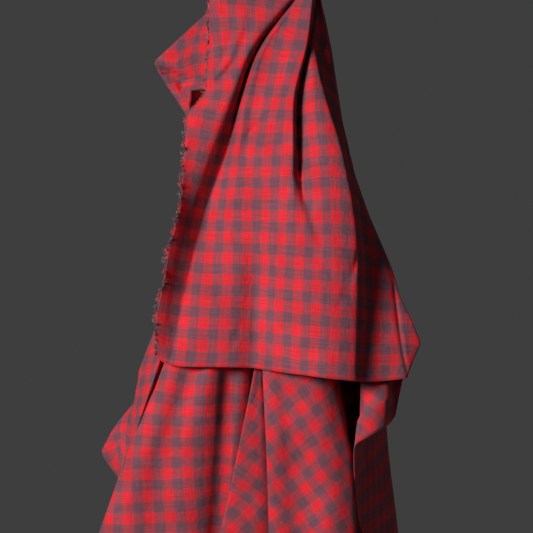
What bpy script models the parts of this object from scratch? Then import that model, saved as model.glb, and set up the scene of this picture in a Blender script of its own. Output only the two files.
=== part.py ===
"""Gingham cloth, one cut length hung from a point, with a short flap in front and a long rear part.

Metres, +Z up. The origin is the point that the cloth hangs from, +X is to the right and +Y is to the back.
The cloth is a fan of fold lines that all start at the hang point. Tables give each fold line's run, and a
smooth curve across the fold lines gives the sheet.
"""

import math

import bmesh
import bpy
import numpy as np

MM = 0.001

# Cloth, in millimetres
CLOTH_THICKNESS = 1.2
DOME_DROP = 57.0  # the cloth rounds over the hang point above this drop
DOME_RINGS = 5
APEX_RING = 0.16  # size of the first ring beside the dome's full size
WIDE_SPAN = 15.0  # fold lines further apart than this get a column between them

# Frayed edges, in millimetres
FRONT_YARNS = 76
BACK_YARNS = 84
SHORTEST_YARN = 3.5
LONGEST_YARN = 7.0
FRONT_START = DOME_RINGS + 1  # the row that each strip starts at
BACK_START = DOME_RINGS + 3
EDGE_GAP = 0.5  # the strip of yarn roots is parted from the cloth by this much
ROOT_WIDTH = 1.2
ROOT_THICKNESS = 1.0
YARN_TIP = 0.35  # tip size beside the root size
SEED = 7

# How far below the hang point the fold tables are given
FLAP_DROPS = (55, 100, 150, 200, 250, 330, 400)
REAR_DROPS = (55, 230, 400, 480, 560)

# The flap's middle plane leans forward as it goes down
FLAP_LEAN_TOP = -16.0
FLAP_LEAN_MORE = -40.0
FLAP_LEAN_BEND = 0.65

# Flap folds, left to right. Columns: name, crispness, drop of the bottom edge,
# distance right of the hang point at FLAP_DROPS, relief behind the flap's plane at FLAP_DROPS
FLAP_FOLDS = (
    ("frayed edge", 1, 391, (-76, -77, -82, -99, -98, -116, -127), (14, 22, 12, 6, 2, 2, 8)),
    ("left facet", 1, 394, (-57, -64, -76, -92, -95, -114, -123), (8, 12, 5, 3, 9, 7, 4)),
    ("left crest", 2, 397, (-26, -43, -64, -79, -90, -111, -120), (0, 0, 0, 2, 16, 12, 5)),
    ("deep valley", 2, 399, (0, -32, -49, -67, -82, -106, -114), (10, 24, 26, 30, 28, 18, 10)),
    ("panel shoulder", 1, 401, (4, -27, -43, -56, -74, -89, -100), (6, 8, 12, 22, 18, 4, 4)),
    ("panel left", 1, 401, (8, -19, -33, -41, -49, -51, -55), (2, 3, 4, 9, 0, 0, 0)),
    ("press crease", 1, 402, (12, -10, -21, -28, -30, -32, -34), (0, 0, -1, -2, -6, 9, 9)),
    ("panel right", 1, 404, (16, 4, -6, -12, -14, -17, -19), (-2, -5, -14, -12, -18, -6, -5)),
    ("panel lip", 6, 406, (20, 12, 2, 0, 1, 0, -2), (-4, -10, -22, -21, -26, -18, -17)),
    ("narrow valley", 4, 407, (22, 17, 9, 7, 11, 9, 8), (8, 16, 8, 2, -25, -23, -23)),
    ("lobe left", 1, 408, (22.5, 20, 13, 13, 18, 18, 17), (8, 10, 0, -8, -29, -27, -28)),
    ("lobe crest", 1, 410, (24, 22, 22, 30, 38, 38, 34), (6, 4, -18, -22, -34, -32, -35)),
    ("front ridge", 4, 413, (25, 24, 34, 50, 60, 64, 62), (4, 0, -16, -18, -28, -24, -25)),
    ("dark side", 1, 415, (26, 30, 40, 53, 64, 73, 71), (8, 14, 2, -4, -2, 4, -2)),
    ("side crease", 2, 412, (26, 36, 44, 55, 68, 95, 106), (14, 26, 18, 10, 12, 17, 6)),
    ("right outline", 3, 408, (27, 39, 46, 55, 71, 102, 116), (24, 36, 34, 28, 30, 22, 10)),
)

# Rear folds, from the right outline round to the free edge at the back. Columns: name, crispness,
# drop of the bottom edge, distance right of the hang point and distance behind it at REAR_DROPS
REAR_FOLDS = (
    ("return", 1, 410, (27, 61, 104, 106, 108), (9, -2, -22, -22, -22)),
    ("corner right", 3, 450, (27, 58, 95, 98, 101), (10, 4, -10, -8, -6)),
    ("corner middle", 2, 459, (26, 54, 82, 77, 72), (11, 6, -30, -31, -32)),
    ("corner left", 4, 473, (24, 49, 66, 57, 48), (12, 8, -34, -36, -38)),
    ("corner behind", 1, 560, (23, 48, 70, 66, 63), (14, 20, 0, 4, 6)),
    ("inner return", 1, 584, (24, 54, 80, 85, 92), (16, 32, 36, 40, 44)),
    ("rear right outline", 4, 592, (25, 60, 92, 97, 107), (19, 44, 66, 70, 76)),
    ("pocket", 2, 600, (21, 45, 64, 66, 70), (20, 46, 74, 78, 82)),
    ("pocket wall", 1, 604, (18, 39, 47, 55, 60), (14, 24, 30, 32, 34)),
    ("right panel ridge", 4, 608, (15, 30, 38, 57, 62), (6, -4, -30, -26, -22)),
    ("right panel", 1, 618, (9, 17, 21, 34, 38), (2, -8, -42, -38, -34)),
    ("right trough", 1, 632, (4, 9, -6, 2, 13), (3, -4, -34, -30, -26)),
    ("right panel left", 1, 645, (0, 2, -17, -12, -8), (2, -6, -38, -36, -34)),
    ("right panel lip", 5, 660, (-3, -4, -26, -23, -21), (2, -6, -37, -36, -34)),
    ("first pleat", 1, 656, (-4, 0, -21, -11, 0), (5, 4, -22, -8, 2)),
    ("strip right", 1, 655, (-6, -5, -27, -24, -22), (4, 0, -24, -20, -16)),
    ("strip", 1, 640, (-8, -7, -29, -35, -43), (3, -2, -26, -25, -24)),
    ("strip lip", 5, 622, (-10, -9, -33, -48, -63), (3, -4, -29, -30, -30)),
    ("second pleat wall", 1, 630, (-12, -7, -30, -34, -40), (7, 6, -12, 2, 14)),
    ("second pleat", 1, 640, (-14, -6, -26, -17, -9), (10, 16, 8, 34, 52)),
    ("pleat return", 1, 620, (-17, -13, -41, -47, -49), (8, 10, -2, 14, 26)),
    ("dark valley", 1, 600, (-20, -21, -56, -69, -70), (5, 2, -16, -6, 2)),
    ("left panel right", 1, 600, (-24, -30, -64, -82, -87), (3, -6, -24, -20, -16)),
    ("left panel crest", 1, 603, (-30, -41, -79, -98, -104), (2, -10, -30, -31, -30)),
    ("left trough", 1, 608, (-36, -55, -94, -125, -140), (4, -4, -20, -24, -24)),
    ("left panel", 1, 613, (-43, -64, -108, -136, -156), (4, -6, -26, -29, -30)),
    ("left panel edge", 4, 620, (-50, -72, -118, -152, -182), (5, -2, -20, -18, -16)),
    ("left gap", 2, 615, (-56, -74, -119, -146, -166), (9, 14, 36, 26, 28)),
    ("wing", 3, 611, (-62, -78, -124, -150, -160), (12, 12, 8, 14, 38)),
    ("wing face", 1, 608, (-67, -88, -134, -158, -162), (15, 24, 28, 32, 50)),
    ("wing outline", 6, 605, (-70, -96, -146, -162, -160), (18, 34, 46, 52, 62)),
    ("wing behind", 1, 600, (-74, -89, -132, -145, -149), (16, 44, 72, 80, 86)),
    ("back left", 1, 592, (-75, -68, -102, -111, -117), (13, 54, 92, 100, 106)),
    ("back trough", 1, 585, (-76, -47, -68, -74, -77), (9, 60, 106, 114, 120)),
    ("back middle", 1, 578, (-76.3, -28, -36, -38, -40), (5, 54, 96, 104, 108)),
    ("back right", 1, 570, (-76.3, -9, -4, -2, 0), (2, 60, 108, 116, 122)),
    ("free edge", 1, 560, (-76, 6, 26, 32, 38), (-2, 56, 100, 106, 110)),
)

# Places where a fold buckles outwards. Columns: fold, drop of its tip, reach above the tip,
# reach below it, push to the right, push to the back
BUCKLES = (
    ("wing outline", 110, 50, 58, -53, 26),
    ("wing face", 112, 46, 54, -28, 10),
    ("wing behind", 110, 44, 50, -26, 10),
    ("wing outline", 437, 60, 22, 6, 0),
    ("wing outline", 487, 46, 28, -21, 0),
    ("wing behind", 487, 46, 28, -10, 0),
    ("right outline", 379, 44, 34, 15, 4),
    ("corner left", 434, 24, 14, 5, 0),
)

# Places where the cloth steps back under a fold. Columns: fold, drop of the step, depth of the
# step, distance over which the cloth comes back to its own place
LEDGES = (
    ("wing", 134, 24, 60),
    ("wing face", 124, 20, 50),
)

# How closely the rows follow each other down the cloth, as shares of the way to the bottom edge
ROW_SHARES = (
    0.0, 0.033, 0.065, 0.097, 0.12, 0.143, 0.18, 0.225, 0.275, 0.33, 0.385, 0.44, 0.495, 0.55,
    0.603, 0.65, 0.693, 0.738, 0.785, 0.815, 0.845, 0.88, 0.92, 0.96, 1.0,
)


def curve_through(at, places, values):
    """A smooth curve through values at places, read at the numbers in at."""
    places = np.asarray(places, float)
    values = np.asarray(values, float)
    slopes = np.gradient(values, places)
    i = np.clip(np.searchsorted(places, at) - 1, 0, len(places) - 2)
    span = places[i + 1] - places[i]
    t = (at - places[i]) / span
    inside = (
        (1 + 2 * t) * (1 - t) ** 2 * values[i]
        + t * (1 - t) ** 2 * span * slopes[i]
        + t**2 * (3 - 2 * t) * values[i + 1]
        + t**2 * (t - 1) * span * slopes[i + 1]
    )
    above = values[0] + slopes[0] * (at - places[0])
    below = values[-1] + slopes[-1] * (at - places[-1])
    return np.where(at < places[0], above, np.where(at > places[-1], below, inside))


def flap_plane(drop):
    """How far behind the hang point the flap's plane is at a drop."""
    first, last = FLAP_DROPS[0], FLAP_DROPS[-1]
    share = np.clip((drop - first) / (last - first), 0, 1)
    return FLAP_LEAN_TOP + FLAP_LEAN_MORE * share**FLAP_LEAN_BEND


def row_drops(bottom):
    """The drops of a fold line's points, from the first ring of the dome to its bottom edge."""
    turns = np.linspace(APEX_RING, 1, DOME_RINGS) * math.pi / 2
    dome = DOME_DROP * (1 - np.cos(turns))
    below = DOME_DROP + (bottom - DOME_DROP) * np.array(ROW_SHARES[1:])
    return np.concatenate([dome, below])


def dome_share(drop):
    """How much of its distance from the plumb line a point keeps on the rounded top."""
    left = np.clip(1 - drop / DOME_DROP, 0, 1)
    return np.sqrt(1 - left**2)


def buckle_share(drop, tip, above, below):
    """1 at a buckle's tip, falling evenly to 0 at its ends."""
    return np.clip(1 - np.where(drop < tip, (tip - drop) / above, (drop - tip) / below), 0, 1)


def ledge_share(drop, step, reach):
    """0 above a step, 1 just under it, and back to 0 further down."""
    back = np.clip((drop - step) / 8.0, 0, 1)
    return back * np.clip(1 - (drop - step) / reach, 0, 1)


def fold_line(name, bottom, drops, across, depth, flap):
    """The points of one fold line, in millimetres."""
    drop = row_drops(bottom)
    held = np.maximum(drop, drops[0])
    x = curve_through(held, drops, across)
    y = curve_through(held, drops, depth)
    if flap:
        y = y + flap_plane(held)
    for fold, tip, above, below, right, back in BUCKLES:
        if fold == name:
            share = buckle_share(drop, tip, above, below)
            x = x + right * share
            y = y + back * share
    for fold, step, back, reach in LEDGES:
        if fold == name:
            y = y + back * ledge_share(drop, step, reach)
    keep = dome_share(drop)
    return np.stack([x * keep, y * keep, -drop], axis=1)


def all_folds():
    """Every fold line's points, (folds, rows, 3), and every fold's crispness."""
    lines, crispness = [], []
    for folds, drops, flap in ((FLAP_FOLDS, FLAP_DROPS, True), (REAR_FOLDS, REAR_DROPS, False)):
        for name, crisp, bottom, across, depth in folds:
            lines.append(fold_line(name, bottom, drops, across, depth, flap))
            crispness.append(crisp)
    return np.array(lines), np.array(crispness, float)


def across_folds(lines, crispness):
    """Columns of points on a smooth curve across the fold lines, which comes near a crisp fold's line."""
    middles = (lines[1:] + lines[:-1]) / 2
    columns = [lines[0]]
    for i in range(1, len(lines) - 1):
        before, at, after = middles[i - 1], lines[i], middles[i]
        if np.linalg.norm(lines[i] - lines[i - 1], axis=1).mean() > WIDE_SPAN:
            columns.append(before)
        columns.append((before + 2 * crispness[i] * at + after) / (2 + 2 * crispness[i]))
    columns.append(middles[-1])
    columns.append(lines[-1])
    return np.array(columns)


def material(name, colour, roughness):
    made = bpy.data.materials.new(name)
    made.use_nodes = True
    shader = made.node_tree.nodes["Principled BSDF"]
    shader.inputs["Base Color"].default_value = (*colour, 1)
    shader.inputs["Roughness"].default_value = roughness
    shader.inputs["Metallic"].default_value = 0
    return made


def new_object(name, bm, look):
    mesh = bpy.data.meshes.new(name)
    bm.to_mesh(mesh)
    bm.free()
    mesh.materials.append(look)
    made = bpy.data.objects.new(name, mesh)
    bpy.context.scene.collection.objects.link(made)
    return made


def make_cloth(columns, look):
    """The sheet: a dome that closes round the hang point, and below it a cloth that is open down one side."""
    bm = bmesh.new()
    count, rows = columns.shape[:2]
    closed = DOME_RINGS  # the first and last columns are one as far as the dome's last ring
    points = [[bm.verts.new(p * MM) for p in column] for column in columns]
    for row in range(closed):
        bm.verts.remove(points[-1][row])
        points[-1][row] = points[0][row]
    apex = bm.verts.new((0, 0, 0))
    for i in range(count - 1):
        bm.faces.new((apex, points[i][0], points[i + 1][0]))
        for row in range(rows - 1):
            a, b = points[i], points[i + 1]
            bm.faces.new((a[row], a[row + 1], b[row + 1], b[row]))
    bmesh.ops.triangulate(bm, faces=[f for f in bm.faces if len(f.verts) == 4])
    bmesh.ops.recalc_face_normals(bm, faces=bm.faces)
    for face in bm.faces:
        face.smooth = True
    made = new_object("cloth", bm, look)
    skin = made.modifiers.new("thickness", "SOLIDIFY")
    skin.thickness = CLOTH_THICKNESS * MM
    skin.offset = 0
    return made


def spaced(points, count):
    """The line through points again, with count points evenly along it."""
    along = np.concatenate([[0], np.cumsum(np.linalg.norm(np.diff(points, axis=0), axis=1))])
    at = np.linspace(0, along[-1], count)
    return np.stack([np.interp(at, along, points[:, k]) for k in range(3)], axis=1)


def unit(vectors):
    return vectors / np.linalg.norm(vectors, axis=-1, keepdims=True)


def make_frayed_edge(name, edge, inside, yarns, look, seed):
    """A strip of fused yarn roots along an edge, with loose yarn ends that stand out from it."""
    rng = np.random.default_rng(seed)
    cells = 2 * yarns + 1
    line, beside = spaced(edge, cells + 1), spaced(inside, cells + 1)
    out = unit(line - beside)
    run = unit(np.gradient(line, axis=0))
    out = unit(out - run * (out * run).sum(1, keepdims=True))
    up = np.cross(run, out)
    bm = bmesh.new()
    rings = []
    for side, height in ((0, -0.5), (0, 0.5), (1, 0.5), (1, -0.5)):
        place = line + out * (EDGE_GAP + ROOT_WIDTH * side) + up * ROOT_THICKNESS * height
        rings.append([bm.verts.new(p * MM) for p in place])
    for i in range(cells):
        for a, b in ((0, 1), (1, 2), (3, 0)):
            bm.faces.new((rings[a][i], rings[b][i], rings[b][i + 1], rings[a][i + 1]))
        foot = (rings[2][i], rings[3][i], rings[3][i + 1], rings[2][i + 1])
        if i % 2 == 0:
            bm.faces.new(foot)
            continue
        lean = 0.35 * run[i] * rng.normal() + 0.3 * up[i] * rng.normal() + np.array([0, 0, -0.25])
        reach = unit(out[i] + lean) * rng.uniform(SHORTEST_YARN, LONGEST_YARN)
        base = np.array([v.co[:] for v in foot])
        centre = base.mean(0)
        tips = [bm.verts.new(centre + (p - centre) * YARN_TIP + reach * MM) for p in base]
        for a in range(4):
            b = (a + 1) % 4
            bm.faces.new((foot[a], foot[b], tips[b], tips[a]))
        bm.faces.new(tips)
    bm.faces.new([ring[0] for ring in rings])
    bm.faces.new([ring[-1] for ring in reversed(rings)])
    bmesh.ops.recalc_face_normals(bm, faces=bm.faces)
    return new_object(name, bm, look)


def main():
    for old in list(bpy.data.objects):
        bpy.data.objects.remove(old, do_unlink=True)
    lines, crispness = all_folds()
    columns = across_folds(lines, crispness)
    woven = material("gingham", (0.42, 0.06, 0.08), 0.85)
    yarn = material("yarn_ends", (0.46, 0.07, 0.09), 0.9)
    make_cloth(columns, woven)
    edge, inside = columns[:2, FRONT_START:]
    make_frayed_edge("frayed_edge_front", edge, inside, FRONT_YARNS, yarn, SEED)
    inside, edge = columns[-2:, BACK_START:]
    make_frayed_edge("frayed_edge_back", edge, inside, BACK_YARNS, yarn, SEED + 1)


main()
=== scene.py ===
import math
import random

import bmesh
import bpy
import numpy as np
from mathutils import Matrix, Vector, noise


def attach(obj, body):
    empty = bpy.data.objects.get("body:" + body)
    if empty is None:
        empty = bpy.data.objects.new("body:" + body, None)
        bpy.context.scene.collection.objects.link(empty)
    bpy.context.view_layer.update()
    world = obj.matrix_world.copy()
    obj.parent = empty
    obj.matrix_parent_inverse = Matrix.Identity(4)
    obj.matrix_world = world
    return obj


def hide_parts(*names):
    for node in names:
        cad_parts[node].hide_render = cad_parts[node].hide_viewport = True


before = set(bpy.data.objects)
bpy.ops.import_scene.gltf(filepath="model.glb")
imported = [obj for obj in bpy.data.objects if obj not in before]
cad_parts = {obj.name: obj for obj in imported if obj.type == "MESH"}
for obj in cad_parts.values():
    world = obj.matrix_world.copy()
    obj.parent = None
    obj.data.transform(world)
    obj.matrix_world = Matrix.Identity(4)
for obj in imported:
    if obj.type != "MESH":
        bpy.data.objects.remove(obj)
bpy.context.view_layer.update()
mm = 0.001
viewSizes = {"distance": 2600.0, "right": -22.2, "drop": 307.9, "wide": 502.6}

# How far below the hang point the fold tables are given
flapDrops = (55, 100, 150, 200, 250, 330, 400)
rearDrops = (55, 230, 400, 480, 560)

# Flap folds, left to right. Columns: name, crispness, drop of the bottom edge, distance right of the hang
# point at flapDrops, relief behind the flap's plane at flapDrops, place across the flat cloth at flapDrops
flapFolds = (
    ("frayed edge", 1, 391, (-76, -77, -80, -98, -102, -119, -126), (14, 18, 10, 1, -11, -7, 3),
     (-80, -89, -93, -94, -94, -94, -94)),
    ("left facet", 1, 394, (-57, -66, -75, -91, -97, -115, -122), (8, 10, 5, 2, -4, -2.5, 3.5),
     (-59, -76, -85, -87, -85, -89, -90)),
    ("left crest", 2, 397, (1, -33.5, -54, -74, -90, -109, -118), (0, 0, 0, 3, 3.5, 3.5, 4.5),
     (4, -30, -63, -69, -75, -82, -85)),
    ("deep valley", 4, 399, (6, -28.5, -47.5, -60, -78, -98, -112), (10, 20, 25, 24, 20, 11, 6),
     (10, -22.5, -43.5, -45.5, -58, -69.5, -78)),
    ("panel shoulder", 2, 401, (10, -23.5, -42, -51, -68, -85, -99), (3, 1, 2, 8, 15, 6, 2),
     (15, -14.5, -21, -28, -43, -54, -64)),
    ("panel left", 1, 401, (13, -19, -33, -41, -49, -51, -55), (2, 3, 4, 9, 0, 0, 0),
     (18, -7, -11, -13, -17, -19, -18)),
    ("press crease", 1, 402, (15, -10, -21, -28, -30, -32, -34), (0, 0, -1, -2, -6, 9, 9),
     (21, 5, 1, 4, 3, 2, 4)),
    ("panel right", 1, 404, (18, 4, -6, -12, -14, -17, -19), (-2, -5, -14, -12, -18, -6, -5),
     (24, 20, 23, 24, 23, 24, 24)),
    ("panel lip", 6, 406, (21, 15.5, 3.5, 2.5, 2, 0, -2), (-4, -8, -20, -21, -26, -18, -17),
     (27, 29, 36, 39, 43, 45, 45)),
    ("narrow valley", 4, 407, (23, 17.5, 8, 7.5, 11, 9, 8), (8, 8, 4, 0, -25, -23, -23),
     (31, 43, 49, 51, 55, 55, 57)),
    ("lobe left", 1, 408, (24.5, 18.5, 11.5, 12, 18, 18, 17), (22, 5, -8, -10, -29, -27, -28),
     (38, 53, 64, 61, 64, 66, 68)),
    ("lobe crest", 1, 410, (26, 20, 20, 29, 37, 37, 33), (22, 3, -16, -22, -34, -32, -34),
     (47, 62, 75, 81, 89, 88, 88)),
    ("front ridge", 4, 413, (27.5, 22, 32, 47, 57, 61, 59.5), (20, 5, -14, -18, -28, -24, -25),
     (58, 71, 89, 102, 112, 114, 115)),
    ("dark side", 1, 415, (28, 28, 38, 50, 62, 71, 70), (20, 20, 4, -4, -2, 4, -2), None),
    ("side crease", 2, 412, (28, 36, 44, 55, 68, 95, 106), (14, 26, 18, 10, 12, 17, 6), None),
    ("right outline", 3, 408, (29, 39, 46, 55, 71, 102, 107), (24, 36, 34, 28, 30, 22, 10), None),
)

# Rear folds, from the right outline round to the free edge at the back. Columns: name, crispness, drop of
# the bottom edge, distance right of the hang point and distance behind it at rearDrops, and how many degrees
# the fold has turned from the cloth's own downward threads
rearFolds = (
    ("return", 1, 410, (27, 61, 104, 106, 108), (9, -2, -22, -22, -22), 34),
    ("corner right", 3, 450, (27, 58, 97, 99, 101), (10, 4, -14, -12, -10), 45),
    ("corner middle", 2, 459, (26, 54, 88, 85, 80), (11, 6, -34, -34, -34), 50),
    ("corner left", 4, 473, (24, 49, 66, 57, 48), (12, 8, -34, -36, -38), 56),
    ("corner behind", 1, 560, (23, 48, 70, 66, 63), (14, 20, 0, 4, 6), 64),
    ("inner return", 1, 584, (24, 54, 80, 85, 92), (16, 32, 36, 40, 44), 76),
    ("rear right outline", 4, 592, (25, 60, 92, 97, 107), (19, 44, 66, 70, 76), 90),
    ("pocket", 2, 600, (21, 45, 64, 66, 70), (20, 46, 74, 78, 82), 102),
    ("pocket wall", 1, 604, (18, 39, 47, 55, 60), (14, 24, 30, 32, 34), 112),
    ("right panel ridge", 4, 608, (15, 30, 38, 57, 62), (6, -4, -35, -27, -22), 121),
    ("right panel", 1, 618, (9, 17, 21, 34, 38), (2, -8, -52, -43, -37), 123.5),
    ("right trough", 1, 632, (4, 9, -6, 2, 13), (3, -4, -45, -34, -26), 123),
    ("right panel left", 1, 645, (0, 2, -17, -12, -8), (2, -6, -47, -39, -34), 126),
    ("right panel lip", 5, 660, (-3, -4, -26, -23, -21), (2, -6, -42, -36, -32), 128),
    ("first pleat", 1, 656, (-4, 0, -21, -11, 0), (5, 4, -22, -8, 2), 134),
    ("strip right", 1, 655, (-6, -5, -27, -24, -22), (4, 0, -32, -25, -21), 142),
    ("strip", 1, 640, (-8, -7, -29, -35, -43), (3, -2, -33, -27, -24.5), 148.5),
    ("strip lip", 5, 622, (-10, -9, -33, -50, -68), (3, -4, -36, -30, -27), 154),
    ("second pleat wall", 1, 630, (-12, -7, -30, -34, -40), (7, 6, -12, 2, 14), 160),
    ("second pleat", 1, 640, (-14, -6, -26, -17, -9), (10, 16, 8, 34, 52), 168),
    ("pleat return", 1, 620, (-17, -13, -40, -46, -50), (8, 6, -26, -17, -12), 192),
    ("dark valley", 1, 600, (-20, -21, -57, -65, -71), (5, 2, -23, -13, -8), 193),
    ("left panel right", 1, 600, (-24, -30, -66, -76, -82), (3, -6, -37, -29, -24), 194),
    ("left panel crest", 1, 603, (-30, -41, -76, -97, -104), (2, -10, -42, -35, -30), 195),
    ("left trough", 1, 608, (-36, -55, -89, -116, -130), (4, -4, -31, -26, -24), 199),
    ("left panel", 1, 613, (-43, -64, -108, -136, -156), (4, -6, -37, -33, -30), 201),
    ("left panel edge", 4, 620, (-50, -72, -118, -152, -182), (5, -2, -26, -20, -16), 205),
    ("left gap", 2, 615, (-56, -74, -119, -146, -166), (9, 14, 36, 26, 28), 203),
    ("wing", 3, 611, (-62, -78, -124, -150, -160), (12, 12, 8, 14, 38), 200),
    ("wing face", 1, 608, (-67, -88, -134, -158, -162), (15, 24, 28, 32, 50), 198),
    ("wing outline", 6, 605, (-70, -96, -146, -162, -160), (18, 34, 46, 52, 62), 196),
    ("wing behind", 1, 600, (-74, -89, -132, -145, -149), (16, 44, 72, 80, 86), 194),
    ("back left", 1, 592, (-75, -68, -102, -111, -117), (13, 54, 92, 100, 106), 191),
    ("back trough", 1, 585, (-76, -47, -68, -74, -77), (9, 60, 106, 114, 120), 188),
    ("back middle", 1, 578, (-76.3, -28, -36, -38, -40), (5, 54, 96, 104, 108), 185),
    ("back right", 1, 570, (-76.3, -9, -4, -2, 0), (2, 60, 108, 116, 122), 182),
    ("free edge", 1, 560, (-76, 6, 26, 32, 38), (-2, 56, 100, 106, 110), 180),
)

# Places where a fold buckles outwards. Columns: fold, drop of its tip, reach above the tip, reach below it,
# push to the right, push to the back
buckles = (
    ("frayed edge", 165, 20, 34, -11, 0),
    ("left facet", 165, 20, 34, -8, 0),
    ("frayed edge", 290, 36, 34, -3, 0),
    ("frayed edge", 352, 26, 24, -3, 0),
    ("wing outline", 114, 54, 70, -53, -8),
    ("wing face", 114, 50, 70, -32, -2),
    ("wing behind", 112, 46, 56, -26, 10),
    ("wing outline", 352, 100, 56, 12, 0),
    ("wing face", 352, 90, 50, 8, 0),
    ("wing outline", 437, 60, 22, 6, 0),
    ("wing outline", 487, 46, 28, -21, 0),
    ("wing behind", 487, 46, 28, -10, 0),
    ("right outline", 379, 44, 31, 18, 4),
    ("corner middle", 432, 30, 60, 0, -20),
    ("corner left", 434, 30, 60, 0, -8),
    ("corner left", 434, 24, 14, 5, 0),
)

# How the cloth steps back under the rim of the tip at the left, on both sides of its sharp outline. Columns:
# fold, drop of the step, step to the right, step to the back, how far it goes down, and how much of that it
# takes to come back
ledges = (
    ("left panel edge", 142, 0, 0, 50, 25),
    ("left gap", 141, -16, 25, 55, 25),
    ("wing", 138, -26, -8, 55, 25),
    ("wing face", 127, -8, 9, 36, 25),
    ("wing outline", 115, 0, 8, 40, 20),
    ("wing behind", 115, 0, 8, 40, 20),
    ("back left", 115, 0, 0, 40, 20),
)

# First and last place, counted in folds, that the creases of each part reach
creaseParts = {"flap": (0.5, 15.2), "tip": (43.6, 46)}

# Small creases. Columns: name, part of the cloth, half width, depth to the back, then its run as pairs of
# distance right of the hang point and drop
creases = (
    ("tie to the tip", "flap", 2.9, 5.2,
     (-34, 66), (-39, 87), (-46, 104), (-53, 118), (-63, 130), (-74, 138)),
    ("beside the tie", "flap", 2.2, 1.6, (-52, 72), (-57, 96), (-64, 116), (-74, 130)),
    ("upper tuck", "flap", 2.4, 3.4, (-42, 188), (-34, 179), (-23, 170), (-13, 158), (-5, 150)),
    ("below the upper tuck", "flap", 3.2, 1.2, (-50, 222), (-36, 206), (-20, 190), (-8, 174)),
    ("from the narrow valley", "flap", 4.2, 5.0,
     (6, 212), (9, 226), (12, 240), (17, 254), (20, 267), (25, 278), (30, 290)),
    ("pucker", "flap", 3.0, -1.8, (19, 270), (25, 276), (32, 288)),
    ("kink", "flap", 2.2, 2.6, (-2, 232), (3, 224), (9, 216), (13, 206)),
    ("pressed line", "flap", 1.7, 1.6, (-31, 318), (-32, 340), (-33, 366), (-34, 400)),
    ("lower tuck", "flap", 1.9, 1.7, (-46, 362), (-51, 374), (-58, 388)),
    ("left tuck", "flap", 2.2, 1.3, (-78, 362), (-80, 380), (-81, 396)),
    ("hem tuck", "flap", 2.0, 1.2, (-66, 380), (-70, 392), (-72, 402)),
    ("ridge tuck", "flap", 2.2, 2.2, (51, 330), (56, 318), (60, 304), (61, 292)),
    ("notch", "flap", 2.0, 1.6, (42, 346), (47, 338), (52, 328)),
    ("pit under the rim", "tip", 4.0, 10, (-102, 131), (-100, 140)),
    ("under the rim", "tip", 2.4, 9, (-124, 119), (-114, 123), (-104, 128), (-92, 133)),
    ("side pleat", "flap", 1.8, 2.2, (96, 318), (100, 355), (104, 385), (109, 412)),
)

# Squares of the check whose places the photo shows. Columns: panel, its first and last fold counted from 0,
# kind of square, how many repeats along u and v the panel's first one lies from the check's start, then for
# each square its distance right of the hang point and drop in the photo's plane, and its repeats from the
# first one
seenSquares = (
    ("flap centre", 0, 13, "charcoal", 0, 9,
     (-30, 190, 0, 0), (-31, 290, 0, 5), (-32, 331, 0, 7), (-32, 393, 0, 10)),
    ("left panel", 35.6, 42, "red", 5, -8,
     (-97, 466, 0, 0), (-98, 427, 0, 2), (-96, 504, 0, -2), (-94, 543, 0, -4), (-75, 538, 1, -4),
     (-131, 546, -2, -4), (-169, 549, -4, -4), (-60, 443, 2, 1), (-60, 482, 2, -1), (-61, 537, 2, -4),
     (-44, 424, 3, 2), (-44, 458, 3, 0)),
    ("strip", 31, 33.5, "red", 13, -7,
     (-33, 472, 0, 0), (-44, 485, 0, -1), (-31, 499, 1, -1), (-43, 513, 1, -2), (-28, 525, 2, -2),
     (-40, 540, 2, -3), (-35, 444, -1, 1), (-53, 527, 1, -3)),
    ("right panel", 24.5, 29, "red", 17, -3,
     (18, 488, 0, 0), (-8, 485, -1, -1), (43, 493, 1, 1), (29, 505, 1, 0), (-12, 513, 0, -2),
     (16, 517, 1, -1), (42, 519, 2, 0)),
    ("corner piece", 16.5, 19.5, "red", 14, 16,
     (72, 431, 0, 0), (84, 443, 0, 1), (72, 458, 1, 1)),
    ("wing", 43.5, 46.5, "red", -2, -7,
     (-148, 448, 0, 0), (-158, 463, -1, -1), (-157, 479, -1, -2), (-168, 477, -2, -2),
     (-165, 491, -2, -3), (-145, 430, 0, 1)),
    ("tip", 43.5, 45.95, "red", 3, 11,
     (-96, 106, 0, 0), (-83, 101, 1, 0), (-108, 111, -1, 0), (-96, 124, 0, -1), (-84, 121, 1, -1),
     (-93, 88, 0, 1), (-82, 83, 1, 1)),
)

sheetSizes = {
    "thickness": 0.7,
    "domeDrop": 57.0,       # the cloth rounds over the hang point above this drop
    "domeRings": 8,
    "apexRing": 0.1,
    "rows": 119,            # below the dome
    "seenSpacing": 3.2,     # between columns, on the folds that face the camera
    "hiddenSpacing": 9.0,
    "fineSpacing": {
        "left facet": 2.3, "left crest": 2.2, "narrow valley": 2.0, "side crease": 1.3, "right outline": 2.2,
    },
    "facingFolds": ((1, 15), (25, 46)),
    "closerRows": (1.2, 0.14, 0.09),    # how much closer, round which share of the way down, over what share
    "flapLean": (-16.0, -34.0, 0.65),   # at the top, how much more at the bottom, bend
    "stepRamp": 2.5,                    # how far down a ledge takes to reach its full step
    "rippleHeight": 1.2,
    "rippleScale": (26, 70),            # along u and v
    "crinkleHeight": 0.5,
    "crinkleScale": (8, 11),
    "rippleRows": 12,                   # below the dome, over which the ripples fade in
    "tightFold": (8, 0.6, 0.95),    # columns looked at each way, then straight distance over distance along
    "flatSize": (0.50, 1.10),       # metres, assumed: a half-metre cut from cloth 1.1 m wide
    "cutAt": -94.3,                 # u of the cut edge
    "hemAt": 404.8,                 # v of the woven edge
}

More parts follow.
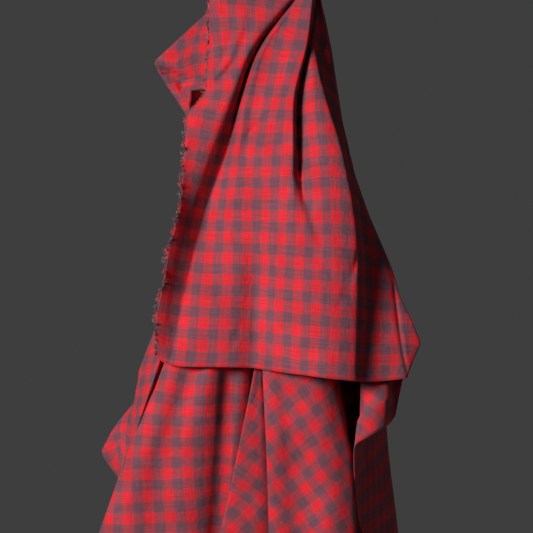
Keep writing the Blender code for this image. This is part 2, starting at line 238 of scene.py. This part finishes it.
# How the cloth is laid flat. Places are counted in folds, and the weights are of the least squares
laySizes = {
    "layings": 8,
    "rows": 33,
    "finePlaces": (42.8, 47.2),
    "hiddenPlaces": ((19.6, 24.4), (29.4, 30.6), (33.4, 35.8), (42.6, 43.4), (46.1, 52)),
    "hiddenWeight": 0.3,
    "downWeight": 0.8,
    "flapWeight": 2.0,
    "cutEdgeWeight": 3.5,
    "hemWeight": 2.0,
    "freeEdgeWeight": 3.0,
    "joinedWeight": 9.0,    # holds the two halves of the cut edge together at the top
    "squareWeight": 2.5,
}

yarnSizes = {
    "spacing": 0.27,
    "radius": 0.24,
    "shortest": 2.2,
    "longest": 4.2,
    "steps": 5,
    "tuftWidth": (0.9, 3.2),
    "looseLength": (6, 26),
    "looseSteps": 7,
}

# The check, in metres
checkSizes = {
    "repeat": 0.020,
    "charcoalU": 0.0027,    # the middle of a charcoal stripe
    "charcoalV": 0.0165,
    "softEdge": 0.05,       # of a repeat
    "threadPitch": 0.00042,
    "wander": (0.0028, 18, 60),             # how far a stripe's edge strays, scale across and along it
    "warpStreak": (1300, 40, 0.80, 1.15),   # scale along u and v, darkest, palest
    "weftStreak": (34, 1300, 0.72, 1.20),
    "clouds": (22, 0.90, 1.07),             # scale, darkest, palest
    "charcoalShows": 0.14,
    "crinkle": (260, 210),
    "threadBump": (0.5, 0.00018),           # strength, distance
    "crinkleBump": (0.5, 0.0012),
}

yarnColours = {"red": (0.66, 0.025, 0.037), "charcoal": (0.165, 0.062, 0.084)}

# The stage, in metres and degrees
stageSizes = {
    "floorRadius": 2.0,
    "floorDrop": 1.0,
    "target": (-0.02, 0, -0.36),
    "keyDistance": 2.8,
    "keySide": 37,
    "keyHeight": 13,
    "backFill": (-0.6, 2.2, 0.6),
}


def curveThrough(at, places, values):
    # a smooth curve through values at places, read at the numbers in at
    places = np.asarray(places, float)
    values = np.asarray(values, float)
    slopes = np.gradient(values, places)
    i = np.clip(np.searchsorted(places, at) - 1, 0, len(places) - 2)
    span = places[i + 1] - places[i]
    t = (at - places[i]) / span
    inside = (
        (1 + 2 * t) * (1 - t) ** 2 * values[i]
        + t * (1 - t) ** 2 * span * slopes[i]
        + t**2 * (3 - 2 * t) * values[i + 1]
        + t**2 * (t - 1) * span * slopes[i + 1]
    )
    above = values[0] + slopes[0] * (at - places[0])
    below = values[-1] + slopes[-1] * (at - places[-1])
    return np.where(at < places[0], above, np.where(at > places[-1], below, inside))


def rowDrops(bottom):
    # rings of the dome, then rows down to the bottom edge, closer together round the tip at the left
    s = sheetSizes
    turns = np.linspace(s["apexRing"], 1, s["domeRings"]) * math.pi / 2
    dome = s["domeDrop"] * (1 - np.cos(turns))
    share = np.linspace(0, 1, 2001)
    more, middle, width = s["closerRows"]
    density = 1 + more * np.exp(-(((share - middle) / width) ** 2))
    reached = np.concatenate([[0], np.cumsum((density[1:] + density[:-1]) / 2)])
    shares = np.interp(np.linspace(0, 1, s["rows"] + 1)[1:], reached / reached[-1], share)
    return np.concatenate([dome, s["domeDrop"] + (bottom - s["domeDrop"]) * shares])


def foldPoints(name, bottom, drops, across, depth, flap):
    drop = rowDrops(bottom)
    held = np.maximum(drop, drops[0])
    x = curveThrough(held, drops, across)
    y = curveThrough(held, drops, depth)
    if flap:
        top, more, bend = sheetSizes["flapLean"]
        share = np.clip((held - drops[0]) / (drops[-1] - drops[0]), 0, 1)
        y = y + top + more * share**bend
    for fold, tip, above, below, right, back in buckles:
        if fold == name:
            share = np.clip(1 - np.where(drop < tip, (tip - drop) / above, (drop - tip) / below), 0, 1)
            x = x + right * share
            y = y + back * share
    left = np.clip(1 - drop / sheetSizes["domeDrop"], 0, 1)
    keep = np.sqrt(1 - left**2)
    return np.stack([x * keep, y * keep, -drop], axis=1)


def sheetColumns():
    # columns of points across all folds, and each column's place counted in folds
    lines, crisp, names = [], [], []
    for name, crispness, bottom, across, depth, flat in flapFolds:
        names.append(name)
        lines.append(foldPoints(name, bottom, flapDrops, across, depth, True))
        crisp.append(crispness)
    for name, crispness, bottom, across, depth, turn in rearFolds:
        names.append(name)
        lines.append(foldPoints(name, bottom, rearDrops, across, depth, False))
        crisp.append(crispness)
    lines = np.array(lines)
    middles = (lines[1:] + lines[:-1]) / 2
    last = len(lines) - 1
    columns, places = [], []
    for i in range(last + 1):
        before = middles[i - 1] if i else lines[0]
        after = middles[i] if i < last else lines[last]
        at = lines[i]
        seen = any(low <= i <= high for low, high in sheetSizes["facingFolds"])
        spacing = sheetSizes["seenSpacing"] if seen else sheetSizes["hiddenSpacing"]
        spacing = sheetSizes["fineSpacing"].get(names[i], spacing)
        spans = np.linalg.norm(at - before, axis=1) + np.linalg.norm(after - at, axis=1)
        span = np.percentile(spans, 80)
        steps = 2 * max(1, round(span / spacing / 2))
        for step in range(steps):
            t = step / steps
            if i == 0:
                point = at + (after - at) * t
            elif i == last:
                point = before + (at - before) * t
            else:
                weights = ((1 - t) ** 2, 2 * t * (1 - t) * crisp[i], t**2)
                point = (before * weights[0] + at * weights[1] + after * weights[2]) / sum(weights)
            columns.append(point)
            places.append(i - 0.5 + t if i else t / 2)
    columns.append(lines[last])
    places.append(float(last))
    columns, places = np.array(columns), np.array(places)
    at = [names.index(ledge[0]) for ledge in ledges]
    ledgeColumns = list(zip(*ledges))[1:]
    step, right, back, reach, fade = (np.interp(places, at, values)[:, None] for values in ledgeColumns)
    below = -columns[..., 2] - step
    share = np.clip(below / sheetSizes["stepRamp"], 0, 1) * np.clip((reach - below) / fade, 0, 1)
    columns[..., 0] += right * share
    columns[..., 1] += back * share
    return columns, places


def flatten(points, places):
    # Lays the cloth flat: each short run of it keeps its length and its angle to its neighbours, the folds
    # in front keep their place across the cloth, and the seen squares theirs. Least squares settles the
    # differences, so hidden folds aren't truly unfolded.
    lay = laySizes
    finer = (places > lay["finePlaces"][0]) & (places < lay["finePlaces"][1])
    wanted = np.unique(np.where(finer, np.round(places * 4) / 4, np.round(places * 2) / 2))
    keys = np.array([int(np.abs(places - w).argmin()) for w in wanted])
    rings = sheetSizes["domeRings"]
    rows = np.unique(np.linspace(rings - 1, points.shape[1] - 1, lay["rows"]).round().astype(int))
    grid = points[keys][:, rows]
    count, deep = grid.shape[:2]
    nothing = np.zeros((len(points), 1))
    alongDown = np.cumsum(np.concatenate([nothing, np.linalg.norm(np.diff(points, axis=1), axis=2)], 1), 1)
    nothing = np.zeros((1, points.shape[1]))
    alongAcross = np.cumsum(np.concatenate([nothing, np.linalg.norm(np.diff(points, axis=0), axis=2)], 0), 0)
    downLength = np.diff(alongDown[keys][:, rows], axis=1)
    acrossLength = np.diff(alongAcross[keys][:, rows], axis=0)
    drops = -grid[:, :, 2]

    flats = np.array([fold[5] for fold in flapFolds if fold[5]], float)
    lastFlat, first = len(flats) - 1, len(flapFolds)
    turn = np.zeros((count, deep))
    known = np.full((count, deep), np.nan)
    turns = [math.radians(fold[5]) for fold in rearFolds]
    for k, place in enumerate(wanted):
        if place <= lastFlat:
            low, high = int(place), min(int(place) + 1, lastFlat)
            shares = (flats[low] + flats[high]) / 2
            if place == low:
                # a soft fold lies between its neighbours, so its place does too
                crispness = flapFolds[low][1]
                before = (flats[max(low - 1, 0)] + flats[low]) / 2
                shares = (before + 2 * crispness * flats[low] + shares) / (2 + 2 * crispness)
            known[k] = curveThrough(drops[k], flapDrops, shares)
            fall = np.gradient(known[k]) / np.gradient(alongDown[keys[k]][rows])
            turn[k] = np.arcsin(np.clip(fall, -0.8, 0.8))
            ridgeTurn = turn[k]
        elif place < first:
            share = (place - lastFlat) / (first - lastFlat)
            turn[k] = ridgeTurn * (1 - share) + turns[0] * share
        else:
            turn[k] = np.interp(place - first, range(len(turns)), turns)

    # in flat coordinates a run is one complex number: its v and, times i, its u
    chord = np.diff(grid, axis=0)
    fall = np.gradient(grid, axis=1)
    fall = (fall[1:] + fall[:-1]) / 2
    cosine = (chord * fall).sum(-1) / (np.linalg.norm(chord, axis=-1) * np.linalg.norm(fall, axis=-1) + 1e-9)
    slant = np.exp(1j * np.arccos(np.clip(cosine, -0.96, 0.96)))
    seen = np.ones(count)
    for low, high in lay["hiddenPlaces"]:
        seen[(wanted > low) & (wanted < high)] = lay["hiddenWeight"]
    downWeight = np.repeat(seen[:, None] * lay["downWeight"], deep - 1, axis=1) ** 2
    acrossWeight = np.repeat(np.minimum(seen[1:], seen[:-1])[:, None], deep, axis=1) ** 2

    def across(values, weights):
        # the pull of all runs on each place, for one coordinate
        down, side = np.diff(values, axis=1) * downWeight, np.diff(values, axis=0) * acrossWeight
        pull = weights * values
        pull[:, :-1] -= down
        pull[:, 1:] += down
        pull[:-1] -= side
        pull[1:] += side
        return pull

    def settle(aim, weights, start, joined):
        # conjugate gradients; joined holds the two halves of the cut edge together at the top
        def pulled(values):
            pull = across(values, weights)
            pull[0, 0] += joined * (values[0, 0] - values[-1, 0])
            pull[-1, 0] += joined * (values[-1, 0] - values[0, 0])
            return pull

        values = start.copy()
        left = aim - pulled(values)
        step = left.copy()
        size = (left * left).sum()
        for again in range(1500):
            pull = pulled(step)
            length = size / (step * pull).sum()
            values += length * step
            left -= length * pull
            newSize = (left * left).sum()
            if newSize < 1e-8:
                break
            step = left + step * (newSize / size)
            size = newSize
        return values

    def layOut(flat, turn, heldU, heldV):
        sides = np.zeros((count, deep), complex)
        downRuns = downLength * np.exp(0.5j * (turn[:, 1:] + turn[:, :-1])) * downWeight
        sideRuns = acrossLength * np.exp(0.5j * (turn[1:] + turn[:-1])) * slant * acrossWeight
        sides[:, :-1] -= downRuns
        sides[:, 1:] += downRuns
        sides[:-1] -= sideRuns
        sides[1:] += sideRuns
        found = []
        axes = ((sides.imag, heldU, flat[0], 0.0), (sides.real, heldV, flat[1], lay["joinedWeight"]))
        for total, held, old, joined in axes:
            total, weights = total.copy(), np.zeros((count, deep))
            for k, r, value, weight in held:
                total[k, r] += value * weight**2
                weights[k, r] += weight**2
            found.append(settle(total, weights, old, joined))
        # each place turns to suit its runs
        at = found[1] + 1j * found[0]
        down = np.diff(at, axis=1) * downLength * downWeight
        side = np.diff(at, axis=0) * np.conj(slant) * acrossLength * acrossWeight
        pull = np.zeros((count, deep), complex)
        pull[:, :-1] += down
        pull[:, 1:] += down
        pull[:-1] += side
        pull[1:] += side
        return found, turn + np.angle(pull * np.exp(-1j * turn))

    heldU, heldV = [], []      # column, row, value, weight
    for k in range(count):
        for r in range(deep):
            if not np.isnan(known[k, r]):
                heldU.append((k, r, known[k, r], lay["flapWeight"] if k else lay["cutEdgeWeight"]))
        if wanted[k] <= first - 1:
            heldV.append((k, deep - 1, sheetSizes["hemAt"], lay["hemWeight"]))
    for r in range(deep):
        heldU.append((count - 1, r, sheetSizes["cutAt"], lay["freeEdgeWeight"]))

    def spread(flat):
        # over all columns and rows by distance along the cloth
        wide = np.zeros((len(points), deep, 2))
        for r, row in enumerate(rows):
            at = alongAcross[:, row]
            for axis in (0, 1):
                wide[:, r, axis] = np.interp(at, at[keys], flat[:, r, axis])
        whole = np.zeros(points.shape[:2] + (2,))
        for c in range(len(points)):
            at = alongDown[c]
            for axis in (0, 1):
                whole[c, :, axis] = np.interp(at, at[rows], wide[c, :, axis])
        # the dome: straight runs from the hang point
        span = alongDown[:, :rings] + np.linalg.norm(points[:, :1], axis=2)
        whole[:, :rings] = whole[:, rings - 1:rings] * (span / span[:, -1:])[..., None]
        return whole

    flat = [np.zeros((count, deep)), np.zeros((count, deep))]
    for again in range(2):
        flat, turn = layOut(flat, turn, heldU, heldV)
    whole = spread(np.stack(flat, -1))

    # find each seen square on the cloth, and its place on the flat check
    shrink = viewSizes["distance"] / (viewSizes["distance"] + points[..., 1])
    shownRight = viewSizes["right"] + (points[..., 0] - viewSizes["right"]) * shrink
    shownDrop = viewSizes["drop"] + (-points[..., 2] - viewSizes["drop"]) * shrink
    repeat = checkSizes["repeat"] / mm
    squares = []
    for panel, lowFold, highFold, kind, firstU, firstV, *panelSquares in seenSquares:
        inPanel = (places >= lowFold) & (places <= highFold)
        middle = np.array([checkSizes["charcoalU"], checkSizes["charcoalV"]]) / mm
        middle += repeat / 2 if kind == "red" else 0
        for x, drop, stepsU, stepsV in panelSquares:
            away = np.hypot(shownRight - x, shownDrop - drop) + np.where(inPanel[:, None], 0, 1e6)
            c, r = np.unravel_index(away.argmin(), away.shape)
            k = int(np.abs(wanted - places[c]).argmin())
            j = int(np.abs(rows - r).argmin())
            squares.append((c, r, k, j, middle + np.array([firstU + stepsU, firstV + stepsV]) * repeat))
    for again in range(lay["layings"]):
        moreU, moreV = list(heldU), list(heldV)
        for c, r, k, j, aim in squares:
            moreU.append((k, j, flat[0][k, j] + aim[0] - whole[c, r, 0], lay["squareWeight"]))
            moreV.append((k, j, flat[1][k, j] + aim[1] - whole[c, r, 1], lay["squareWeight"]))
        flat, turn = layOut(flat, turn, moreU, moreV)
        whole = spread(np.stack(flat, -1))
    return whole


def creaseDepths(points, places):
    # how far to the back the small creases push each point
    right, drop = points[..., 0], -points[..., 2]
    push = np.zeros(right.shape)
    for name, part, half, depth, *run in creases:
        low, high = creaseParts[part]
        inPart = (places > low) & (places < high)
        run = np.array(run, float)
        nearest = np.full(right.shape, 1e9)
        share = np.zeros(right.shape)
        for i, (a, b) in enumerate(zip(run[:-1], run[1:])):
            step = b - a
            t = ((right - a[0]) * step[0] + (drop - a[1]) * step[1]) / (step @ step)
            t = np.clip(t, 0, 1)
            away = np.hypot(right - a[0] - step[0] * t, drop - a[1] - step[1] * t)
            closer = away < nearest
            nearest = np.where(closer, away, nearest)
            share = np.where(closer, (i + t) / (len(run) - 1), share)
        fade = np.clip(np.minimum(share, 1 - share) * 5 + 0.25, 0, 1)
        push += depth * np.exp(-((nearest / half) ** 2)) * fade * inPart[:, None]
    return push


def rippled(points, places, flat):
    # soft ripples and fine crinkles across the sheet's own faces, and the creases
    s = sheetSizes
    down = np.gradient(points, axis=1)
    across = np.gradient(points, axis=0)
    normals = np.cross(across, down)
    normals /= np.linalg.norm(normals, axis=2, keepdims=True) + 1e-9
    u, v = flat[..., 0], flat[..., 1]
    height = np.zeros(u.shape)
    for c in range(u.shape[0]):
        for r in range(s["domeRings"], u.shape[1]):
            a, b = u[c, r], v[c, r]
            soft = Vector((a / s["rippleScale"][0], b / s["rippleScale"][1], 3.1))
            fine = Vector((a / s["crinkleScale"][0], b / s["crinkleScale"][1], 7.7))
            height[c, r] = noise.noise(soft) * s["rippleHeight"] + noise.noise(fine) * s["crinkleHeight"]
    fadeIn = np.clip((np.arange(u.shape[1]) - s["domeRings"]) / s["rippleRows"], 0, 1)
    # tight folds keep no ripples, which would push one wall into the other
    reach, tight, loose = s["tightFold"]
    behind = np.maximum(np.arange(len(points)) - reach, 0)
    ahead = np.minimum(np.arange(len(points)) + reach, len(points) - 1)
    spans = np.linalg.norm(np.diff(points, axis=0), axis=2)
    along = np.concatenate([np.zeros((1, points.shape[1])), np.cumsum(spans, axis=0)])
    straight = np.linalg.norm(points[ahead] - points[behind], axis=2) / (along[ahead] - along[behind] + 1e-9)
    height *= np.clip((straight - tight) / (loose - tight), 0, 1)
    points = points + normals * (height * fadeIn)[..., None]
    points[..., 1] += creaseDepths(points, places)
    return points


def makeSheet():
    points, places = sheetColumns()
    flat = flatten(points, places)
    points = rippled(points, places, flat)
    points[-1, :sheetSizes["domeRings"]] = points[0, :sheetSizes["domeRings"]]
    count, rows = points.shape[:2]
    # one more row at the top is the hang point itself
    points = np.concatenate([np.zeros((count, 1, 3)), points], axis=1)
    flat = np.concatenate([np.zeros((count, 1, 2)), flat], axis=1)
    bm = bmesh.new()
    bmesh.ops.create_grid(bm, x_segments=rows, y_segments=count - 1, size=1)
    bm.verts.ensure_lookup_table()
    for vert in bm.verts:
        column, row = divmod(vert.index, rows + 1)
        vert.co = points[column, row] * mm
    uvLayer = bm.loops.layers.uv.new("flat")
    for face in bm.faces:
        face.smooth = True
        for loop in face.loops:
            column, row = divmod(loop.vert.index, rows + 1)
            loop[uvLayer].uv = flat[column, row] * mm
    bmesh.ops.remove_doubles(bm, verts=bm.verts[:], dist=1e-6)
    bmesh.ops.recalc_face_normals(bm, faces=bm.faces[:])
    mesh = bpy.data.meshes.new("ginghamSheet")
    bm.to_mesh(mesh)
    bm.free()
    sheet = bpy.data.objects.new("ginghamSheet", mesh)
    bpy.context.scene.collection.objects.link(sheet)
    skin = sheet.modifiers.new("thickness", "SOLIDIFY")
    skin.thickness = sheetSizes["thickness"] * mm
    skin.offset = 0
    return sheet, points[:, 1:], flat[:, 1:]


def isCharcoal(place, middle):
    repeat = checkSizes["repeat"] / mm
    off = (place - middle / mm) / repeat
    return abs(off - round(off)) < 0.25


def makeYarnEnds(name, edge, inside, flatV, seed):
    # loose yarn ends along a cut edge: one curve for the red ones and one for the charcoal ones
    random.seed(seed)
    s = yarnSizes
    along = np.concatenate([[0], np.cumsum(np.linalg.norm(np.diff(edge, axis=0), axis=1))])
    out = edge - inside
    run = np.gradient(edge, axis=0)
    run /= np.linalg.norm(run, axis=1, keepdims=True)
    out -= run * (out * run).sum(1, keepdims=True)
    out /= np.linalg.norm(out, axis=1, keepdims=True)
    over = np.cross(run, out)
    yarns = {"red": [], "charcoal": []}

    def at(values, place):
        return np.array([np.interp(place, along, values[:, k]) for k in range(3)])

    place = 0.3
    while place < along[-1] - 0.3:
        # one tuft: neighbouring ends that cling together and curl the same way
        width = random.uniform(*s["tuftWidth"])
        middle = place + width * random.uniform(0.3, 0.7)
        body = 0.5 + 0.8 * noise.noise(Vector((place / 9, seed, 0.5)))
        reach = s["shortest"] + (s["longest"] - s["shortest"]) * min(1, max(0, body + random.gauss(0, 0.22)))
        tuftLean, tuftCurl, tuftLift = random.gauss(0.15, 0.45), random.gauss(0, 1.5), random.gauss(0, 0.35)
        while place < min(middle + width, along[-1] - 0.3):
            root, o, r, n = at(edge, place), at(out, place), at(run, place), at(over, place)
            length = reach * random.uniform(0.65, 1.15)
            heading = tuftLean + 0.7 * math.atan2(middle - place, reach) + random.gauss(0, 0.16)
            curl = tuftCurl + random.gauss(0, 0.5)
            lift = tuftLift + random.gauss(0, 0.25)
            spot = root - o * 0.6
            points = [spot * mm]
            for k in range(s["steps"]):
                way = o * math.cos(heading) + r * math.sin(heading) + n * lift
                spot = spot + way * (length + 0.6) / s["steps"]
                points.append(spot * mm)
                heading += curl / s["steps"]
            v = np.interp(place, along, flatV)
            kind = "charcoal" if isCharcoal(v, checkSizes["charcoalV"]) else "red"
            yarns[kind].append((points, random.uniform(0.7, 1.2)))
            place += s["spacing"] * random.uniform(0.6, 1.4)
    # threads of the cloth's own length, pulled loose beside the edge
    place = 6.0
    while place < along[-1] - 8:
        length = min(random.uniform(*s["looseLength"]), along[-1] - place)
        away = random.uniform(0.2, 1.6)
        points = []
        for k in range(s["looseSteps"]):
            t = k / (s["looseSteps"] - 1)
            spot = place + t * length
            root, o, n = at(edge, spot), at(out, spot), at(over, spot)
            wave = away + 0.8 * noise.noise(Vector((place / 3 + t * 4, seed, 9.0)))
            points.append((root + o * wave + n * 0.7 * noise.noise(Vector((place + t * 3, seed, 2.0)))) * mm)
        yarns["charcoal"].append((points, 0.9))
        place += length * random.uniform(0.5, 1.6)

    parts = []
    for kind, strands in yarns.items():
        curve = bpy.data.curves.new(f"{name}-{kind}", "CURVE")
        curve.dimensions = "3D"
        curve.bevel_depth = s["radius"] * mm
        curve.bevel_resolution = 0
        curve.use_fill_caps = True
        for points, size in strands:
            spline = curve.splines.new("POLY")
            spline.points.add(len(points) - 1)
            for k, point in enumerate(points):
                spline.points[k].co = (*point, 1)
                spline.points[k].radius = size * (1 - 0.45 * k / (len(points) - 1))
        holder = bpy.data.objects.new(curve.name, curve)
        bpy.context.scene.collection.objects.link(holder)
        mesh = bpy.data.meshes.new_from_object(holder.evaluated_get(bpy.context.evaluated_depsgraph_get()))
        bpy.data.objects.remove(holder)
        mesh.materials.clear()
        mesh.materials.append(yarnLooks[kind])
        parts.append(mesh)
    bm = bmesh.new()
    for index, mesh in enumerate(parts):
        start = len(bm.faces)
        bm.from_mesh(mesh)
        bm.faces.ensure_lookup_table()
        for face in bm.faces[start:]:
            face.material_index = index
            face.smooth = True
    whole = bpy.data.meshes.new(name)
    bm.to_mesh(whole)
    bm.free()
    for kind in yarns:
        whole.materials.append(yarnLooks[kind])
    ends = bpy.data.objects.new(name, whole)
    bpy.context.scene.collection.objects.link(ends)
    return ends


def newMaterial(name):
    made = bpy.data.materials.new(name)
    made.use_nodes = True
    return made, made.node_tree, made.node_tree.nodes["Principled BSDF"]


def plug(tree, socket, value):
    if hasattr(value, "is_output"):
        tree.links.new(value, socket)
    else:
        socket.default_value = value


def maths(tree, operation, *values):
    node = tree.nodes.new("ShaderNodeMath")
    node.operation = operation
    for socket, value in zip(node.inputs, values):
        plug(tree, socket, value)
    return node.outputs[0]


def mixed(tree, share, a, b, blend="MIX"):
    node = tree.nodes.new("ShaderNodeMix")
    node.data_type = "RGBA"
    node.blend_type = blend
    plug(tree, node.inputs["Factor"], share)
    plug(tree, node.inputs["A"], (*a, 1) if isinstance(a, tuple) else a)
    plug(tree, node.inputs["B"], (*b, 1) if isinstance(b, tuple) else b)
    return node.outputs["Result"]


def ranged(tree, value, low, high, toLow, toHigh):
    node = tree.nodes.new("ShaderNodeMapRange")
    node.interpolation_type = "SMOOTHSTEP"
    for socket, given in zip(node.inputs, (value, low, high, toLow, toHigh)):
        plug(tree, socket, given)
    return node.outputs[0]


def noiseAt(tree, u, v, scaleU, scaleV, detail=2.0):
    join = tree.nodes.new("ShaderNodeCombineXYZ")
    plug(tree, join.inputs[0], maths(tree, "MULTIPLY", u, scaleU))
    plug(tree, join.inputs[1], maths(tree, "MULTIPLY", v, scaleV))
    node = tree.nodes.new("ShaderNodeTexNoise")
    node.inputs["Scale"].default_value = 1.0
    node.inputs["Detail"].default_value = detail
    tree.links.new(join.outputs[0], node.inputs["Vector"])
    return node.outputs[0]


def greyed(tree, value):
    join = tree.nodes.new("ShaderNodeCombineXYZ")
    for socket in join.inputs:
        tree.links.new(value, socket)
    return join.outputs[0]


def bumped(tree, height, strength, distance, under=None):
    node = tree.nodes.new("ShaderNodeBump")
    node.inputs["Strength"].default_value = strength
    node.inputs["Distance"].default_value = distance
    tree.links.new(height, node.inputs["Height"])
    if under:
        tree.links.new(under, node.inputs["Normal"])
    return node.outputs[0]


def ginghamLook():
    # plain weave: each crossing shows its warp or its weft yarn, and both run in red and charcoal stripes
    c = checkSizes
    made, tree, shader = newMaterial("redCharcoalGingham")
    place = tree.nodes.new("ShaderNodeUVMap")
    place.uv_map = "flat"
    parts = tree.nodes.new("ShaderNodeSeparateXYZ")
    tree.links.new(place.outputs[0], parts.inputs[0])
    u, v = parts.outputs[0], parts.outputs[1]

    def stripe(coordinate, other, middle):
        most, scaleAcross, scaleAlong = c["wander"]
        stray = maths(tree, "SUBTRACT", noiseAt(tree, coordinate, other, scaleAcross, scaleAlong), 0.5)
        wander = maths(tree, "MULTIPLY", stray, most)
        moved = maths(tree, "ADD", maths(tree, "SUBTRACT", coordinate, middle), wander)
        away = maths(tree, "PINGPONG", maths(tree, "DIVIDE", moved, c["repeat"]), 0.5)
        return ranged(tree, away, 0.25 - c["softEdge"], 0.25 + c["softEdge"], 1.0, 0.0)

    darkWarp, darkWeft = stripe(u, v, c["charcoalU"]), stripe(v, u, c["charcoalV"])
    warp = mixed(tree, darkWarp, yarnColours["red"], yarnColours["charcoal"])
    weft = mixed(tree, darkWeft, yarnColours["red"], yarnColours["charcoal"])
    # thicker and thinner yarns show as faint streaks along the yarn
    def streaked(yarn, scaleU, scaleV, darkest, palest):
        streak = ranged(tree, noiseAt(tree, u, v, scaleU, scaleV), 0.3, 0.7, darkest, palest)
        return mixed(tree, 1.0, yarn, greyed(tree, streak), "MULTIPLY")

    warp = streaked(warp, *c["warpStreak"])
    weft = streaked(weft, *c["weftStreak"])
    sineU = maths(tree, "SINE", maths(tree, "MULTIPLY", u, math.pi / c["threadPitch"]))
    sineV = maths(tree, "SINE", maths(tree, "MULTIPLY", v, math.pi / c["threadPitch"]))
    crossing = maths(tree, "MULTIPLY", sineU, sineV)
    onTop = ranged(tree, crossing, -0.5, 0.5, 0.22, 0.78)
    # the charcoal yarn is the thicker one, so it shows more where the two cross
    darker = maths(tree, "SUBTRACT", darkWarp, darkWeft)
    onTop = maths(tree, "ADD", onTop, maths(tree, "MULTIPLY", darker, c["charcoalShows"]))
    woven = mixed(tree, onTop, weft, warp)
    scale, darkest, palest = c["clouds"]
    cloudy = ranged(tree, noiseAt(tree, u, v, scale, scale, 3.0), 0.3, 0.7, darkest, palest)
    tree.links.new(mixed(tree, 1.0, woven, greyed(tree, cloudy), "MULTIPLY"), shader.inputs["Base Color"])

    crinkle = bumped(tree, noiseAt(tree, u, v, *c["crinkle"], 4.0), *c["crinkleBump"])
    thread = bumped(tree, maths(tree, "ABSOLUTE", crossing), *c["threadBump"], crinkle)
    tree.links.new(thread, shader.inputs["Normal"])
    shader.inputs["Roughness"].default_value = 0.88
    shader.inputs["Specular IOR Level"].default_value = 0.15
    shader.inputs["Sheen Weight"].default_value = 0.10
    shader.inputs["Sheen Roughness"].default_value = 0.45
    shader.inputs["Sheen Tint"].default_value = (1.0, 0.5, 0.52, 1)
    return made


def yarnLook(kind):
    made, tree, shader = newMaterial(f"{kind}YarnEnds")
    place = tree.nodes.new("ShaderNodeTexCoord")
    paintedLightNoise = tree.nodes.new("ShaderNodeTexNoise")
    paintedLightNoise.inputs["Scale"].default_value = 900
    tree.links.new(place.outputs["Object"], paintedLightNoise.inputs["Vector"])
    colour = yarnColours[kind]
    # painted shade and painted highlight: a fine noise darkens some yarn ends to stand for the shadows
    # between tufts, and paints pale highlights on others
    dark = tuple(0.3 * c for c in colour)
    pale = tuple(0.6 * c + 0.4 * p for c, p in zip(colour, (0.75, 0.30, 0.32)))
    paintedShadeAndHighlight = mixed(tree, ranged(tree, paintedLightNoise.outputs[0], 0.40, 0.57, 0.0, 1.0), dark, colour)
    paintedShadeAndHighlight = mixed(tree, ranged(tree, paintedLightNoise.outputs[0], 0.56, 0.68, 0.0, 0.6), paintedShadeAndHighlight, pale)
    tree.links.new(paintedShadeAndHighlight, shader.inputs["Base Color"])
    shader.inputs["Roughness"].default_value = 0.9
    shader.inputs["Specular IOR Level"].default_value = 0.2
    shader.inputs["Sheen Weight"].default_value = 0.4
    return made


def addArea(name, place, target, size, watts, colour=(1, 1, 1), spreadDegrees=180):
    light = bpy.data.lights.new(name, "AREA")
    light.spread = math.radians(spreadDegrees)
    light.shape = "DISK"
    light.size = size
    light.energy = watts
    light.color = colour
    holder = bpy.data.objects.new(name, light)
    holder.location = place
    holder.rotation_euler = (Vector(target) - Vector(place)).to_track_quat("-Z", "Y").to_euler()
    bpy.context.scene.collection.objects.link(holder)


def setStage():
    s = stageSizes
    floorMesh = bpy.data.meshes.new("floor")
    bm = bmesh.new()
    bmesh.ops.create_circle(bm, cap_ends=True, segments=96, radius=s["floorRadius"])
    bmesh.ops.translate(bm, verts=bm.verts[:], vec=(0, 0, -s["floorDrop"]))
    bm.to_mesh(floorMesh)
    bm.free()
    floor = bpy.data.objects.new("floor", floorMesh)
    bpy.context.scene.collection.objects.link(floor)
    pale, tree, shader = newMaterial("paleFloor")
    shader.inputs["Base Color"].default_value = (0.62, 0.61, 0.60, 1)
    shader.inputs["Roughness"].default_value = 0.8
    floorMesh.materials.append(pale)

    world = bpy.data.worlds.new("studio")
    world.use_nodes = True
    world.node_tree.nodes["Background"].inputs[0].default_value = (0.048, 0.048, 0.049, 1)
    world.node_tree.nodes["Background"].inputs[1].default_value = 1.0
    bpy.context.scene.world = world
    target = s["target"]
    distance, side, height = s["keyDistance"], math.radians(s["keySide"]), math.radians(s["keyHeight"])
    level = distance * math.cos(height)
    key = (
        target[0] - level * math.sin(side),
        -level * math.cos(side),
        target[2] + distance * math.sin(height),
    )
    addArea("keyLight", key, target, 0.8, 8.3, (1.0, 0.97, 0.95), 50)
    addArea("backFill", s["backFill"], target, 1.6, 9)

    bpy.context.scene.view_settings.view_transform = "Standard"
    lens = bpy.data.cameras.new("camera")
    lens.sensor_width = 36
    lens.lens = 36 * viewSizes["distance"] / viewSizes["wide"]
    lens.clip_end = 50
    camera = bpy.data.objects.new("camera", lens)
    camera.location = (viewSizes["right"] * mm, -viewSizes["distance"] * mm, -viewSizes["drop"] * mm)
    camera.rotation_euler = (math.radians(90), 0, 0)
    bpy.context.scene.collection.objects.link(camera)
    bpy.context.scene.camera = camera


setStage()
print("stage set")
sheet, sheetGrid, flatGrid = makeSheet()
gingham = ginghamLook()
sheet.data.materials.append(gingham)
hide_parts("cloth")
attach(sheet, "root")
print("sheet", len(sheet.data.polygons), "faces")

yarnLooks = {"red": yarnLook("red"), "charcoal": yarnLook("charcoal")}
rings = sheetSizes["domeRings"]
belowDome, flatV = sheetGrid[:, rings:], flatGrid[:, rings:, 1]
frontEnds = makeYarnEnds("frontYarnEnds", belowDome[0], belowDome[1], flatV[0], 11)
backEnds = makeYarnEnds("backYarnEnds", belowDome[-1], belowDome[-2], flatV[-1], 12)
for ends, node in ((frontEnds, "frayed_edge_front"), (backEnds, "frayed_edge_back")):
    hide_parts(node)
    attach(ends, "root")
    print(ends.name, len(ends.data.polygons), "faces")
